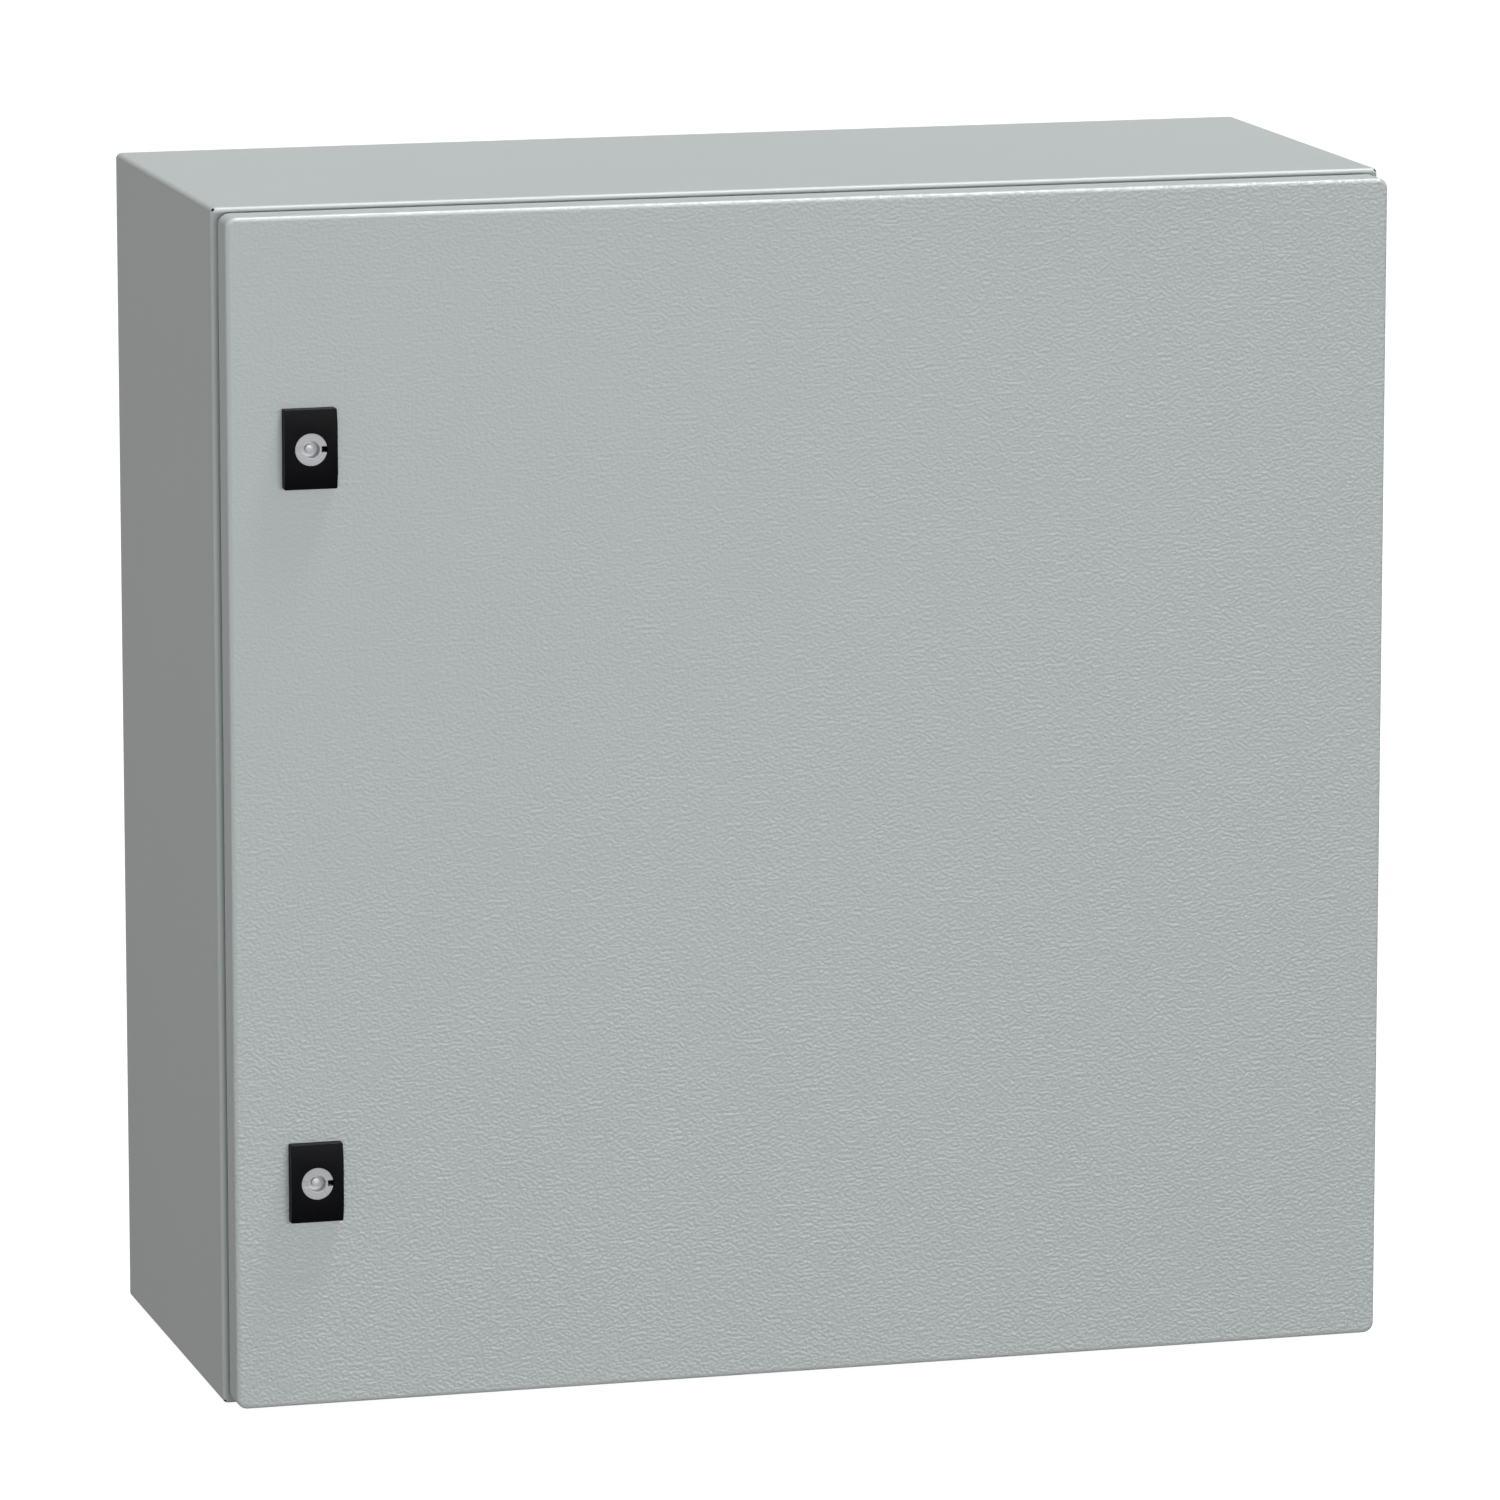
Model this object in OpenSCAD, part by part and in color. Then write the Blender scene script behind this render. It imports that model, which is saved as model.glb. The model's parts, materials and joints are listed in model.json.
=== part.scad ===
// Wall-mounted sheet steel switchboard enclosure with one plain door and two quarter-turn locks.
//
// Every module is drawn as seen from the front: x to the right, y up from the base and z forwards
// from the back plane. stand() then sets the drawing upright, so that the part has +Z up and
// faces -Y, with its origin under the middle of its outer box.

/* [Cabinet] */
// Width of the body
body_w = 600; // [500:50:800]
// Height of the body
body_h = 600; // [550:50:800]
// Depth from the back plane to the front of the closed door
body_d = 252.5; // [200:0.5:300]
// Thickness of the body and door sheet
sheet = 1.5; // [1.2:0.1:1.6]
// Outside radius of the bends in the sheet
bend_r = 2.3; // [2:0.1:2.6]
// Corner radius of the body, seen from the front
body_corner_r = 2.9; // [2.7:0.1:4]
// Diameter of the relief hole where three bends meet at each front corner of the body
relief_d = 1.8; // [1.4:0.1:2]

/* [Opening] */
// Width of the flange round the opening
flange_w = 22; // [21:0.5:23]
// How far the sealing lip stands in front of the flange
lip_h = 13.5; // [12:0.5:14]
// Corner radius of the opening, at the outside of the lip's bend
lip_corner_r = 4; // [3:0.5:6]

/* [Door] */
// How far the door's edge lies inside the body's sides, top and bottom
door_inset = 2.3; // [2:0.1:3]
// Depth of the door's folded edge
door_fold = 17.5; // [16:0.5:18]
// Gap between the folded edge and the flange behind it
door_gap = 5.5; // [4.5:0.5:6]
// Corner radius of the door, seen from the front
door_corner_r = 5.5; // [4:0.5:8]
// Width of the foam gasket
gasket_w = 10; // [8:1:10]

/* [Locks] */
// Distance from the body's left side to the lock axes
lock_inset = 42.5; // [40:0.5:60]
// Distance between the two lock axes
lock_spacing = 367; // [300:1:380]
// Width of a lock's bezel
bezel_w = 26.5; // [26:0.5:30]
// Height of a lock's bezel
bezel_h = 39.7; // [36:0.1:50]
// Height of the flat in the middle of the bezel
bezel_flat_h = 24; // [20:1:26]
// How far the flat stands in front of the door
bezel_proud = 6.5; // [6:0.5:8]
// How far the top and bottom ends of the bezel stand in front of the door
bezel_end_proud = 4.8; // [4:0.1:5.5]
// Radius of the insert's front disc
insert_r = 8; // [7.5:0.1:8.5]
// Reach of the cam from the lock axis to its tip
cam_reach = 33; // [31:1:35]

/* [Hinges] */
// Distance between the middles of the two hinges
hinge_spacing = 410; // [300:10:450]
// Radius of a hinge pin
pin_r = 2; // [1.8:0.1:2]
// Outside radius of the knuckles
knuckle_r = 3.5; // [3.4:0.1:3.5]

/* [Mounting] */
// Radius of the four wall fixing holes
wall_hole_r = 4.25; // [3:0.25:4.5]
// Distance from the body's edges to the wall fixing holes
wall_hole_inset = 25; // [22:1:25]
// Thickness of the mounting plate
plate_t = 2; // [1.5:0.5:3]
// Distance from the back plane to the back of the mounting plate
plate_standoff = 20; // [16:1:40]

/* [Hidden] */
$fn = 64;

// Colours
paint = [0.68, 0.71, 0.70];
galvanised = [0.74, 0.76, 0.78];
zinc_plate = [0.78, 0.78, 0.76];
zinc_cast = [0.70, 0.70, 0.71];
polyamide = [0.10, 0.10, 0.11];
foam = [0.20, 0.20, 0.21];
rubber = [0.06, 0.06, 0.06];

// Planes from the back forwards
back_y = (body_d + bezel_proud) / 2;
door_inner = body_d - sheet;
door_edge = body_d - door_fold;
flange_front = door_edge - door_gap;
flange_back = flange_front - sheet;
lip_front = flange_front + lip_h;

door_w = body_w - 2 * door_inset;
door_h = body_h - 2 * door_inset;
lip_w = body_w - 2 * (flange_w - bend_r);
lip_frame_h = body_h - 2 * (flange_w - bend_r);
mid_h = body_h / 2;

// Gasket: a round-backed bead centred on the lip, just clear of it
gasket_gap = 0.3;
gasket_h = door_inner - lip_front - gasket_gap;
gasket_half = body_w / 2 - flange_w + sheet / 2 + gasket_w / 2;
gasket_half_h = body_h / 2 - flange_w + sheet / 2 + gasket_w / 2;
gasket_corner_r = 12;

// Hinges: the axis lies beside the lip, in front of the flange
hinge_x = body_w / 2 - 8;
hinge_z = flange_front + 12;
hinge_half = 30;
middle_half = 10;
knuckle_gap = 0.3;
pin_fit = 0.02;
pin_running = 0.05;
pin_head_r = 3;
pin_head_h = 1.5;
leaf_x = -11;
leaf_w = 10;
leaf_t = 4;
arm_x = -7;
arm_w = 5.5;
hinge_screw_x = -6;
hinge_screw_y = 22;
m5_r = 2.5;
m5_head_r = 4.25;
m5_head_h = 5;
m5_socket = 4;
door_leaf_x = -7;
door_leaf_w = 10;
door_leaf_half = 42;
door_leaf_t = 2;
door_stud_x = -2.5;
door_stud_y = 36;
notch_half = 35;
notch_depth = 12;

// Locks
lock_x = -body_w / 2 + lock_inset;
lock_barrel_r = 10;
lock_flats = 18;
lock_shaft_r = 6;
lock_running = 0.08;
disc_t = 5.3;
disc_sunk = 0.2;
bezel_corner_r = 0.8;
bezel_chamfer = 0.3;
cam_t = 3;
cam_front = flange_back - 1.3;
cam_w = 14;
cam_hub_r = 9;
cam_gap = 0.3;
shank = 8;
key_recess_r = 4.2;
key_recess_floor = body_d + 0.6;
key_pin_r = 2.2;
key_pin_h = 2.4;
key_dome_r = 6;
key_slot_w = 3;
key_slot_depth = 1;
key_notch_x = 5.2;
lock_nut_af = 24;
lock_nut_t = 6;
seal_in_r = 10.5;
seal_out_r = 12.2;
seal_t = 1.2;
o_ring_r = 0.78;
o_ring_mid_r = 5.2;
o_ring_z = body_d - 12.5;
m6_r = 3;
cam_screw_l = 10;

// Mounting plate and its studs
plate_w = body_w - 60;
plate_h = body_h - 50;
plate_clip = 20;
plate_stud_x = plate_w / 2 - 15;
plate_stud_y = plate_h / 2 - 25;
plate_stud_r = 4;
plate_stud_end = plate_standoff + plate_t + 14;
collar_r = 7;
m8_af = 13;
m8_nut_t = 6.5;
m8_washer_r = 8;
m8_washer_t = 1.6;

// Gland plate in the base, fitted from inside
gland_w = body_w - 100;
gland_d = body_d - 72.5;
gland_z = (body_d - 22.5) / 2;
gland_border = 30;
gland_gasket_t = 2;
gland_gasket_w = 10;
gland_gasket_clear = 4;
gland_plate_t = 1.5;
gland_stud_inset = 10;
gland_stud_l = 12.5;
m5_af = 8;
m5_nut_t = 4;

// Stiffeners: perforated channels down the inside of the door
stiffener_x = body_w / 2 - 85;
stiffener_l = door_h - 115;
stiffener_w = 30;
stiffener_d = 15;
stiffener_pitch = 25;
stiffener_hole_r = 3.25;
stiffener_holes = floor((stiffener_l - 20) / stiffener_pitch);

// Earth studs
body_earth_x = -body_w / 2 + 28;
body_earth_z = 60;
door_earth_x = body_w / 2 - 45;
door_earth_y = 60;
m6_af = 10;
m6_nut_t = 5;
m6_washer_r = 6;
m6_washer_t = 1.2;

// ---------- shared shapes ----------

// Sets a front-view drawing upright, facing -Y, centred front to back.
module stand() {
    translate([0, back_y, 0]) rotate([90, 0, 0]) children();
}

// Moves a shape to the middle of the front.
module centred() {
    translate([0, mid_h, 0]) children();
}

// Turns a shape's z axis to point up.
module upright() {
    rotate([-90, 0, 0]) children();
}

module rounded_rect(w, h, r) {
    square([w - 2 * r, h], center = true);
    square([w, h - 2 * r], center = true);
    for (sx = [-1, 1], sy = [-1, 1])
        translate([sx * (w / 2 - r), sy * (h / 2 - r)]) circle(r);
}

module rect_ring(w, h, band) {
    difference() {
        square([w, h], center = true);
        square([w - 2 * band, h - 2 * band], center = true);
    }
}

// Sweeps a section round a rectangle w by h with corners of radius r. The section's x is the
// distance outwards from the corner centres and its y is the distance forwards.
module round_frame(w, h, r) {
    for (side = [0 : 3]) {
        across = side % 2 == 0 ? w : h;
        along = side % 2 == 0 ? h : w;
        rotate(90 * side) translate([across / 2 - r, 0, 0]) {
            rotate([90, 0, 0]) linear_extrude(along - 2 * r, center = true) children();
            translate([0, along / 2 - r, 0]) rotate_extrude(angle = 90) children();
        }
    }
}

// Section of a bend in the sheet, from facing outwards round to facing forwards.
module bend() {
    intersection() {
        difference() {
            circle(bend_r);
            circle(bend_r - sheet);
        }
        square(bend_r);
    }
}

module hex_prism(af, h) {
    cylinder(h = h, r = af / sqrt(3), $fn = 6);
}

module hex_nut(af, t, bore_r) {
    difference() {
        hex_prism(af, t);
        translate([0, 0, -1]) cylinder(h = t + 2, r = bore_r);
    }
}

module ring(outer_r, inner_r, t) {
    difference() {
        cylinder(h = t, r = outer_r);
        translate([0, 0, -1]) cylinder(h = t + 2, r = inner_r);
    }
}

module at_corners(x, y) {
    for (sx = [-1, 1], sy = [-1, 1]) translate([sx * x, sy * y, 0]) children();
}

// Places a shape at the upper (1) or lower (-1) lock.
module at_lock(side) {
    translate([lock_x, mid_h + side * lock_spacing / 2, 0]) children();
}

// Places a shape at the upper (1) or lower (-1) hinge, with its origin on the pin's axis.
module at_hinge(side) {
    translate([hinge_x, mid_h + side * hinge_spacing / 2, hinge_z]) children();
}

module at_both_hinges() {
    for (side = [-1, 1]) at_hinge(side) children();
}

// ---------- body ----------

module body_section() {
    translate([body_corner_r - sheet, 0]) square([sheet, flange_front - bend_r]);
    translate([body_corner_r - bend_r, flange_front - bend_r]) bend();
}

module lip_section() {
    bend_z = flange_back + bend_r;
    translate([lip_corner_r, bend_z]) rotate(180) bend();
    translate([lip_corner_r - bend_r, bend_z]) square([sheet, lip_front - bend_z]);
}

module front_flange() {
    translate([0, 0, flange_back]) linear_extrude(sheet) difference() {
        rounded_rect(body_w - 2 * bend_r, body_h - 2 * bend_r, body_corner_r - bend_r);
        rounded_rect(lip_w, lip_frame_h, lip_corner_r);
    }
}

// A small hole along the diagonal of each front corner, right through the sheet.
module corner_relief() {
    for (sx = [-1, 1], sy = [-1, 1])
        translate([sx * body_w / 2, sy * body_h / 2, flange_front])
            rotate([0, acos(1 / sqrt(3)), atan2(sy, sx)])
                translate([0, 0, -4 * sheet]) cylinder(h = 6 * sheet, d = relief_d);
}

module gland_cutout() {
    translate([0, -1, gland_z]) upright()
        linear_extrude(sheet + 2)
            square([gland_w - 2 * gland_border, gland_d - 2 * gland_border], center = true);
}

module body_wrapper() color(paint) stand() {
    difference() {
        centred() difference() {
            union() {
                round_frame(body_w, body_h, body_corner_r) body_section();
                front_flange();
                round_frame(lip_w, lip_frame_h, lip_corner_r) lip_section();
            }
            corner_relief();
        }
        gland_cutout();
        at_both_hinges() hinge_screw_places()
            translate([0, 0, flange_back - hinge_z - 1]) cylinder(h = sheet + 2, r = m5_r + 0.25);
    }
}

module back_panel() color(paint) stand() centred() {
    linear_extrude(sheet) difference() {
        rounded_rect(body_w - 2 * sheet, body_h - 2 * sheet, body_corner_r - sheet);
        for (sx = [-1, 1], sy = [-1, 1])
            translate([sx * (body_w / 2 - wall_hole_inset), sy * (body_h / 2 - wall_hole_inset)])
                circle(wall_hole_r);
    }
}

// ---------- mounting plate ----------

module plate_outline() {
    x = plate_w / 2;
    y = plate_h / 2;
    c = plate_clip;
    polygon([[c - x, -y], [x - c, -y], [x, c - y], [x, y - c],
             [x - c, y], [c - x, y], [-x, y - c], [-x, c - y]]);
}

module mounting_plate() color(galvanised) stand() centred() {
    translate([0, 0, plate_standoff]) difference() {
        linear_extrude(plate_t) plate_outline();
        translate([0, 0, -1]) at_corners(plate_stud_x, plate_stud_y)
            cylinder(h = plate_t + 2, r = plate_stud_r + 0.5);
    }
}

module plate_studs() color(zinc_plate) stand() centred() {
    translate([0, 0, sheet]) at_corners(plate_stud_x, plate_stud_y) {
        cylinder(h = plate_standoff - sheet, r = collar_r);
        cylinder(h = plate_stud_end - sheet, r = plate_stud_r);
    }
}

module plate_washers() color(zinc_plate) stand() centred() {
    translate([0, 0, plate_standoff + plate_t]) at_corners(plate_stud_x, plate_stud_y)
        ring(m8_washer_r, plate_stud_r + 0.2, m8_washer_t);
}

module plate_nuts() color(zinc_plate) stand() centred() {
    translate([0, 0, plate_standoff + plate_t + m8_washer_t])
        at_corners(plate_stud_x, plate_stud_y) hex_nut(m8_af, m8_nut_t, plate_stud_r + 0.05);
}

// ---------- gland plate ----------

module at_gland(y) {
    translate([0, y, gland_z]) upright() children();
}

module at_gland_studs() {
    x = gland_w / 2 - gland_stud_inset;
    z = gland_d / 2 - gland_stud_inset;
    for (k = [0 : 3], side = [-1, 1]) translate([x * (2 * k / 3 - 1), side * z, 0]) children();
}

module gland_plate() color(paint) stand() at_gland(sheet + gland_gasket_t) {
    difference() {
        linear_extrude(gland_plate_t) rounded_rect(gland_w, gland_d, 5);
        translate([0, 0, -1]) at_gland_studs() cylinder(h = gland_plate_t + 2, r = m5_r + 0.4);
    }
}

module gland_gasket() color(foam) stand() at_gland(sheet) {
    inner = 2 * (gland_border - gland_gasket_clear);
    linear_extrude(gland_gasket_t)
        rect_ring(gland_w - inner + 2 * gland_gasket_w, gland_d - inner + 2 * gland_gasket_w,
                  gland_gasket_w);
}

module gland_studs() color(zinc_plate) stand() at_gland(sheet) {
    at_gland_studs() cylinder(h = gland_stud_l, r = m5_r);
}

module gland_nuts() color(zinc_plate) stand() at_gland(sheet + gland_gasket_t + gland_plate_t) {
    at_gland_studs() hex_nut(m5_af, m5_nut_t, m5_r + 0.05);
}

// ---------- earth studs ----------

module body_earth_stud() color(zinc_plate) stand() {
    translate([body_earth_x, sheet, body_earth_z]) upright()
        cylinder(h = 20, r = plate_stud_r);
}

module body_earth_nut() color(zinc_plate) stand() {
    translate([body_earth_x, sheet, body_earth_z]) upright() {
        ring(m8_washer_r, plate_stud_r + 0.2, m8_washer_t);
        translate([0, 0, m8_washer_t]) hex_nut(m8_af, m8_nut_t, plate_stud_r + 0.05);
    }
}

module door_earth_stud() color(zinc_plate) stand() {
    translate([door_earth_x, door_earth_y, door_inner - 16]) cylinder(h = 16, r = m6_r);
}

module door_earth_nut() color(zinc_plate) stand() {
    translate([door_earth_x, door_earth_y, door_inner - m6_washer_t])
        ring(m6_washer_r, m6_r + 0.2, m6_washer_t);
    translate([door_earth_x, door_earth_y, door_inner - m6_washer_t - m6_nut_t])
        hex_nut(m6_af, m6_nut_t, m6_r + 0.05);
}

// ---------- hinges ----------
// Drawn about the pin: x to the right, y along the pin and z forwards.

module hinge_screw_places() {
    for (s = [-1, 1]) translate([hinge_screw_x, s * hinge_screw_y, 0]) children();
}

module door_stud_places() {
    for (s = [-1, 1]) translate([door_stud_x, s * door_stud_y, 0]) children();
}

// A bar of radius r along the pin's axis, from y0 to y1.
module along_pin(y0, y1, r) {
    translate([0, y0, 0]) upright() cylinder(h = y1 - y0, r = r);
}

module hinge_body_leaf() {
    base_z = flange_front - hinge_z;
    outer_l = hinge_half - middle_half - knuckle_gap;
    difference() {
        union() {
            translate([leaf_x, -hinge_half, base_z]) cube([leaf_w, 2 * hinge_half, leaf_t]);
            for (y = [-hinge_half, middle_half + knuckle_gap]) {
                translate([arm_x, y, base_z + leaf_t / 2]) cube([arm_w, outer_l, 1 - base_z - leaf_t / 2]);
                along_pin(y, y + outer_l, knuckle_r);
            }
        }
        along_pin(-hinge_half - 1, hinge_half + 1, pin_r + pin_fit);
        hinge_screw_places() translate([0, 0, base_z - 1]) cylinder(h = 10, r = m5_r + 0.05);
    }
}

module hinge_door_leaf() {
    leaf_z = door_inner - door_leaf_t - hinge_z;
    difference() {
        union() {
            translate([door_leaf_x, -door_leaf_half, leaf_z])
                cube([door_leaf_w, 2 * door_leaf_half, door_leaf_t]);
            translate([-1.5, -middle_half, pin_r + 0.5])
                cube([3, 2 * middle_half, leaf_z - pin_r]);
            along_pin(-middle_half, middle_half, knuckle_r);
        }
        along_pin(-middle_half - 1, middle_half + 1, pin_r + pin_running);
        door_stud_places() translate([0, 0, leaf_z - 1]) cylinder(h = door_leaf_t + 2, r = m5_r + 0.2);
    }
}

module hinge_pin() {
    along_pin(-hinge_half - 1, hinge_half + pin_head_h, pin_r);
    along_pin(hinge_half, hinge_half + pin_head_h, pin_head_r);
}

module hinge_screw() {
    head_z = flange_back - hinge_z;
    difference() {
        union() {
            translate([0, 0, head_z]) cylinder(h = 10, r = m5_r);
            translate([0, 0, head_z - m5_head_h]) cylinder(h = m5_head_h, r = m5_head_r);
        }
        translate([0, 0, head_z - m5_head_h - 1]) hex_prism(m5_socket, 3.5);
    }
}

module upper_hinge_body_leaf() color(zinc_cast) stand() at_hinge(1) hinge_body_leaf();
module lower_hinge_body_leaf() color(zinc_cast) stand() at_hinge(-1) hinge_body_leaf();
module upper_hinge_door_leaf() color(zinc_cast) stand() at_hinge(1) hinge_door_leaf();
module lower_hinge_door_leaf() color(zinc_cast) stand() at_hinge(-1) hinge_door_leaf();
module upper_hinge_pin() color(zinc_plate) stand() at_hinge(1) hinge_pin();
module lower_hinge_pin() color(zinc_plate) stand() at_hinge(-1) hinge_pin();

module hinge_body_screws() color(zinc_plate) stand() at_both_hinges()
    hinge_screw_places() hinge_screw();

module hinge_door_studs() color(zinc_plate) stand() at_both_hinges() door_stud_places()
    translate([0, 0, door_inner - hinge_z - 8]) cylinder(h = 8, r = m5_r);

module hinge_door_nuts() color(zinc_plate) stand() at_both_hinges() door_stud_places()
    translate([0, 0, door_inner - hinge_z - door_leaf_t - m5_nut_t]) rotate(30)
        hex_nut(m5_af, m5_nut_t, m5_r + 0.05);

// ---------- door ----------

module door_section() {
    bend_z = body_d - bend_r;
    translate([door_corner_r - sheet, door_edge]) square([sheet, bend_z - door_edge]);
    translate([door_corner_r - bend_r, bend_z]) bend();
}

module lock_outline(clear) {
    intersection() {
        circle(lock_barrel_r + clear);
        square([lock_flats + 2 * clear, 4 * lock_barrel_r], center = true);
    }
}

module hinge_notch() {
    translate([door_w / 2 - hinge_x - 2 * sheet, -notch_half, door_edge - hinge_z - 1])
        cube([3 * sheet, 2 * notch_half, notch_depth + 1]);
}

module door_panel() color(paint) stand() {
    difference() {
        centred() union() {
            translate([0, 0, door_inner]) linear_extrude(sheet)
                rounded_rect(door_w - 2 * bend_r, door_h - 2 * bend_r, door_corner_r - bend_r);
            round_frame(door_w, door_h, door_corner_r) door_section();
        }
        at_both_hinges() hinge_notch();
        for (side = [-1, 1])
            at_lock(side) translate([0, 0, door_inner - 1]) linear_extrude(sheet + 2) lock_outline(0.15);
    }
}

module gasket_section() {
    mid = gasket_corner_r - gasket_w / 2;
    crown = gasket_w / 2;
    translate([mid - crown, crown]) square([gasket_w, gasket_h - crown]);
    intersection() {
        translate([mid, crown]) circle(crown);
        translate([mid - crown, 0]) square([gasket_w, crown]);
    }
}

module door_gasket() color(foam) stand() centred() translate([0, 0, lip_front + gasket_gap])
    round_frame(2 * gasket_half, 2 * gasket_half_h, gasket_corner_r) gasket_section();

// A channel's outline: w wide and d deep below the line y = 0, with its two low corners rounded.
module channel_outline(w, d, r) {
    translate([-w / 2, r - d]) square([w, d - r]);
    translate([r - w / 2, -d]) square([w - 2 * r, r]);
    for (s = [-1, 1]) translate([s * (w / 2 - r), r - d]) circle(r);
}

module stiffener(x) {
    translate([x, mid_h, door_inner]) difference() {
        rotate([90, 0, 0]) linear_extrude(stiffener_l, center = true) difference() {
            channel_outline(stiffener_w, stiffener_d, bend_r);
            translate([0, 1])
                channel_outline(stiffener_w - 2 * sheet, stiffener_d - sheet + 1, bend_r - sheet);
        }
        for (k = [0 : stiffener_holes])
            translate([0, (k - stiffener_holes / 2) * stiffener_pitch, -stiffener_d - 1])
                cylinder(h = sheet + 2, r = stiffener_hole_r);
    }
}

module door_stiffener_left() color(paint) stand() stiffener(-stiffener_x);
module door_stiffener_right() color(paint) stand() stiffener(stiffener_x);

// ---------- locks ----------
// Drawn about the lock's axis, with x to the right and y up.

module bezel_profile() {
    h = bezel_h / 2;
    flat = bezel_flat_h / 2;
    c = bezel_chamfer;
    polygon([[-h, 0], [-h, bezel_end_proud - c], [c - h, bezel_end_proud], [-flat, bezel_proud],
             [flat, bezel_proud], [h - c, bezel_end_proud], [h, bezel_end_proud - c], [h, 0]]);
}

// Chamfers the left and right edges of the facet that runs between heights y0 and y1, where the
// bezel stands p0 and p1 proud.
module facet_chamfers(y0, p0, y1, p1) {
    tilt = atan2(p1 - p0, y1 - y0);
    side = bezel_chamfer * sqrt(2);
    for (s = [-1, 1])
        translate([s * bezel_w / 2, y0, p0]) rotate([tilt, 0, 0]) rotate([0, 45, 0])
            translate([-side / 2, -1, -side / 2])
                cube([side, norm([y1 - y0, p1 - p0]) + 2, side]);
}

module bezel() {
    h = bezel_h / 2;
    flat = bezel_flat_h / 2;
    slope_h = h - bezel_chamfer;
    difference() {
        intersection() {
            translate([-bezel_w / 2, 0, 0]) rotate([90, 0, 90]) linear_extrude(bezel_w) bezel_profile();
            linear_extrude(bezel_proud + 1) rounded_rect(bezel_w, bezel_h, bezel_corner_r);
        }
        facet_chamfers(-slope_h, bezel_end_proud, -flat, bezel_proud);
        facet_chamfers(-flat, bezel_proud, flat, bezel_proud);
        facet_chamfers(flat, bezel_proud, slope_h, bezel_end_proud);
    }
}

module lock_housing() {
    barrel_back = cam_front + cam_gap;
    disc_seat = body_d + bezel_proud - disc_sunk - disc_t - 0.1;
    difference() {
        union() {
            translate([0, 0, body_d]) bezel();
            translate([0, 0, barrel_back]) linear_extrude(body_d + 1 - barrel_back) lock_outline(0);
        }
        translate([0, 0, barrel_back - 1]) cylinder(h = 40, r = lock_shaft_r + lock_running);
        translate([0, 0, disc_seat]) cylinder(h = 10, r = insert_r + lock_running);
        translate([0, 0, body_d - 1]) ring(seal_out_r, seal_in_r, seal_t + 1);
    }
}

module lock_insert() {
    face = body_d + bezel_proud - disc_sunk;
    disc_back = face - disc_t;
    difference() {
        union() {
            translate([0, 0, disc_back]) cylinder(h = disc_t, r = insert_r);
            translate([0, 0, cam_front]) cylinder(h = disc_back - cam_front, r = lock_shaft_r);
            translate([-shank / 2, -shank / 2, cam_front - cam_t]) cube([shank, shank, cam_t + 1]);
        }
        translate([0, 0, key_recess_floor]) cylinder(h = 10, r = key_recess_r);
        translate([-insert_r - 1, -key_slot_w / 2, face - key_slot_depth])
            cube([insert_r + 1 - key_recess_r / 2, key_slot_w, key_slot_depth + 1]);
        translate([key_notch_x, -key_slot_w / 2, disc_back - 1])
            cube([insert_r, key_slot_w, disc_t + 2]);
        translate([0, 0, cam_front - cam_t - 1]) cylinder(h = cam_screw_l + 2, r = m6_r);
        translate([0, 0, o_ring_z]) rotate_extrude()
            translate([o_ring_mid_r - o_ring_r - 0.02, -o_ring_r - 0.2])
                square([lock_shaft_r, 2 * o_ring_r + 0.4]);
    }
    intersection() {
        translate([0, 0, key_recess_floor - 0.5]) cylinder(h = key_pin_h + 0.5, r = key_pin_r);
        translate([0, 0, key_recess_floor + key_pin_h - key_dome_r]) sphere(r = key_dome_r);
    }
}

module lock_cam() {
    translate([0, 0, cam_front - cam_t]) linear_extrude(cam_t) difference() {
        union() {
            circle(cam_hub_r);
            translate([-cam_w / 2, cam_w / 2 - cam_reach]) square([cam_w, cam_reach - cam_w / 2]);
            translate([0, cam_w / 2 - cam_reach]) circle(cam_w / 2);
        }
        square(shank + 0.1, center = true);
    }
}

module cam_screw() {
    head_z = cam_front - cam_t - m6_washer_t;
    translate([0, 0, head_z]) cylinder(h = m6_washer_t, r = m6_washer_r + 0.5);
    translate([0, 0, head_z - 4]) hex_prism(m6_af, 4);
    translate([0, 0, head_z]) cylinder(h = m6_washer_t + cam_screw_l, r = m6_r - 0.05);
}

module lock_seal() {
    translate([0, 0, body_d]) ring(seal_out_r - 0.1, seal_in_r + 0.1, seal_t);
}

module lock_nut() {
    translate([0, 0, door_inner - lock_nut_t]) hex_nut(lock_nut_af, lock_nut_t, lock_barrel_r + 0.05);
}

module lock_o_ring() {
    translate([0, 0, o_ring_z]) rotate_extrude() translate([o_ring_mid_r, 0]) circle(o_ring_r);
}

module upper_lock_housing() color(polyamide) stand() at_lock(1) lock_housing();
module lower_lock_housing() color(polyamide) stand() at_lock(-1) lock_housing();
module upper_lock_seal() color(rubber) stand() at_lock(1) lock_seal();
module lower_lock_seal() color(rubber) stand() at_lock(-1) lock_seal();
module upper_lock_nut() color(zinc_plate) stand() at_lock(1) lock_nut();
module lower_lock_nut() color(zinc_plate) stand() at_lock(-1) lock_nut();
module upper_lock_insert() color(zinc_cast) stand() at_lock(1) lock_insert();
module lower_lock_insert() color(zinc_cast) stand() at_lock(-1) lock_insert();
module upper_lock_o_ring() color(rubber) stand() at_lock(1) lock_o_ring();
module lower_lock_o_ring() color(rubber) stand() at_lock(-1) lock_o_ring();
module upper_lock_cam() color(zinc_plate) stand() at_lock(1) lock_cam();
module lower_lock_cam() color(zinc_plate) stand() at_lock(-1) lock_cam();
module upper_cam_screw() color(zinc_plate) stand() at_lock(1) cam_screw();
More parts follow.
